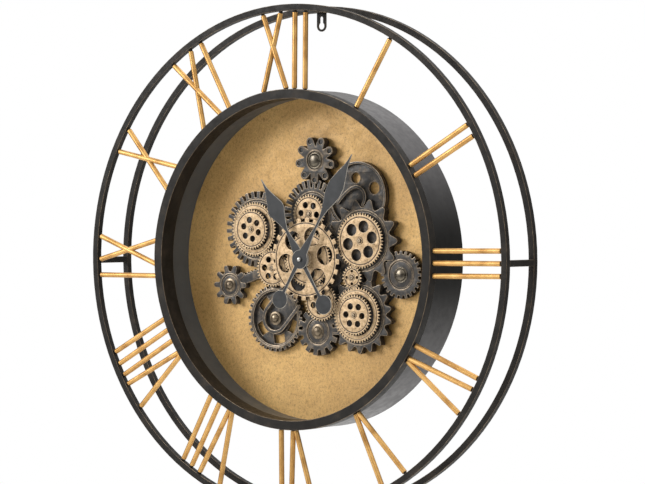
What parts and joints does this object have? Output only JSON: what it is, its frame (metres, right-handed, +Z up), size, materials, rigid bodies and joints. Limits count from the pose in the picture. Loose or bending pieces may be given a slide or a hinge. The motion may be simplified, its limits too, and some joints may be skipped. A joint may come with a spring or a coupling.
{
  "type": "wall clock",
  "caption": "Round skeleton wall clock: rod numerals between hoops carry a deep drum whose gilt dial holds dark fixed gears, pale turning gears and leaf hands.",
  "frame": {"origin": "centre of the clock's box, on the axis of the hands", "axes": "the dial faces -Y, +X to the clock's right as seen from the front, +Z up towards 12 o'clock"},
  "size_m": [0.7999, 0.093, 0.8],
  "materials": {
    "iron_black": "satin black with bronze rubbed on its edges",
    "gold_rod": "brushed antique gold",
    "drum_grey": "satin charcoal",
    "dial_gold": "mottled antique gold",
    "pale_gold": "antiqued champagne gold",
    "dark_cast": "black with bronze rubbed on its edges",
    "bronze": "rubbed bronze",
    "hand_grey": "satin slate grey",
    "steel": "turned",
    "brass": "turned",
    "case_plastic": "moulded",
    "cell": "printed sleeve"
  },
  "bodies": {
    "frame": {"front_ring": "iron_black", "rear_ring": "iron_black", "ring_spacers": "iron_black", "hanger_plate": "iron_black", "bezel": "iron_black", "drum_wall": "drum_grey", "dial_liner": "drum_grey", "dial_plate": "dial_gold", "numeral_1": "gold_rod", "numeral_2": "gold_rod", "numeral_3": "gold_rod", "numeral_4": "gold_rod", "numeral_5": "gold_rod", "numeral_6": "gold_rod", "numeral_7": "gold_rod", "numeral_8": "gold_rod", "numeral_9": "gold_rod", "numeral_10": "gold_rod", "numeral_11": "gold_rod", "numeral_12": "gold_rod", "gear_backplate": "dark_cast", "dark_top": "dark_cast", "dark_comb": "dark_cast", "dark_crescent": "dark_cast", "dark_star": "dark_cast", "dark_right": "dark_cast", "dark_lower": "dark_cast", "dark_bottom": "dark_cast", "dark_window": "dark_cast", "dark_left": "dark_cast", "dark_upper": "dark_cast", "dome_caps": "bronze", "gear_posts": "steel", "dial_tabs": "iron_black", "dial_screws": "steel", "movement_case": "case_plastic", "shaft_bush": "brass", "bush_nut": "brass", "motor_case": "case_plastic", "battery_box": "case_plastic", "battery_cells": "cell"},
    "centre_train": {"centre_gear": "pale_gold", "centre_wheel": "pale_gold", "centre_sleeve": "steel"},
    "upper_train": {"upper_gear": "pale_gold", "drive_shaft": "steel"},
    "left_train": {"left_gear": "pale_gold"},
    "lower_train": {"lower_gear": "pale_gold"},
    "left_pair": {"left_ring_gear": "pale_gold", "left_front_gear": "pale_gold"},
    "right_pair": {"right_ring_gear": "pale_gold", "right_front_gear": "pale_gold"},
    "idler": {"idler_gear": "pale_gold"},
    "right_train": {"right_gear": "pale_gold"},
    "hour": {"hour_hand": "hand_grey", "hour_tube": "steel"},
    "minute": {"minute_hand": "hand_grey", "minute_arbor": "steel", "hand_nut": "brass"},
    "knob": {"setting_knob": "case_plastic"}
  },
  "joints": [
    {"name": "centre_spin", "type": "hinge", "parent": "frame", "child": "centre_train", "pos_m": [0, 0, 0], "axis": [0, 1, 0], "continuous": true},
    {"name": "upper_spin", "type": "hinge", "parent": "frame", "child": "upper_train", "pos_m": [0.00175, 0, 0.07148], "axis": [0, 1, 0], "continuous": true},
    {"name": "left_spin", "type": "hinge", "parent": "frame", "child": "left_train", "pos_m": [-0.06994, 0, -0.01487], "axis": [0, 1, 0], "continuous": true},
    {"name": "lower_spin", "type": "hinge", "parent": "frame", "child": "lower_train", "pos_m": [0.02492, 0, -0.06702], "axis": [0, 1, 0], "continuous": true},
    {"name": "left_pair_spin", "type": "hinge", "parent": "frame", "child": "left_pair", "pos_m": [-0.10644, 0, 0.04661], "axis": [0, 1, 0], "continuous": true},
    {"name": "right_pair_spin", "type": "hinge", "parent": "frame", "child": "right_pair", "pos_m": [0.09379, 0, -0.08624], "axis": [0, 1, 0], "continuous": true},
    {"name": "idler_spin", "type": "hinge", "parent": "frame", "child": "idler", "pos_m": [0.08471, 0, -0.02763], "axis": [0, 1, 0], "continuous": true},
    {"name": "right_spin", "type": "hinge", "parent": "frame", "child": "right_train", "pos_m": [0.09987, 0, 0.02972], "axis": [0, 1, 0], "continuous": true},
    {"name": "minute_spin", "type": "hinge", "parent": "frame", "child": "minute", "pos_m": [0, 0, 0], "axis": [0, 1, 0], "continuous": true},
    {"name": "hour_spin", "type": "hinge", "parent": "frame", "child": "hour", "pos_m": [0, 0, 0], "axis": [0, 1, 0], "continuous": true},
    {"name": "knob_spin", "type": "hinge", "parent": "frame", "child": "knob", "pos_m": [0, 0, 0], "axis": [0, 1, 0], "continuous": true}
  ],
  "couplings": [
    {"joint": "upper_spin", "follows": "centre_spin", "ratio": -1.4444},
    {"joint": "left_spin", "follows": "centre_spin", "ratio": -1.4444},
    {"joint": "lower_spin", "follows": "centre_spin", "ratio": -1.4444},
    {"joint": "left_pair_spin", "follows": "centre_spin", "ratio": 1},
    {"joint": "right_pair_spin", "follows": "centre_spin", "ratio": 1},
    {"joint": "idler_spin", "follows": "centre_spin", "ratio": -2.4762},
    {"joint": "right_spin", "follows": "centre_spin", "ratio": 1},
    {"joint": "hour_spin", "follows": "minute_spin", "ratio": 0.083333},
    {"joint": "knob_spin", "follows": "minute_spin", "ratio": 1}
  ]
}
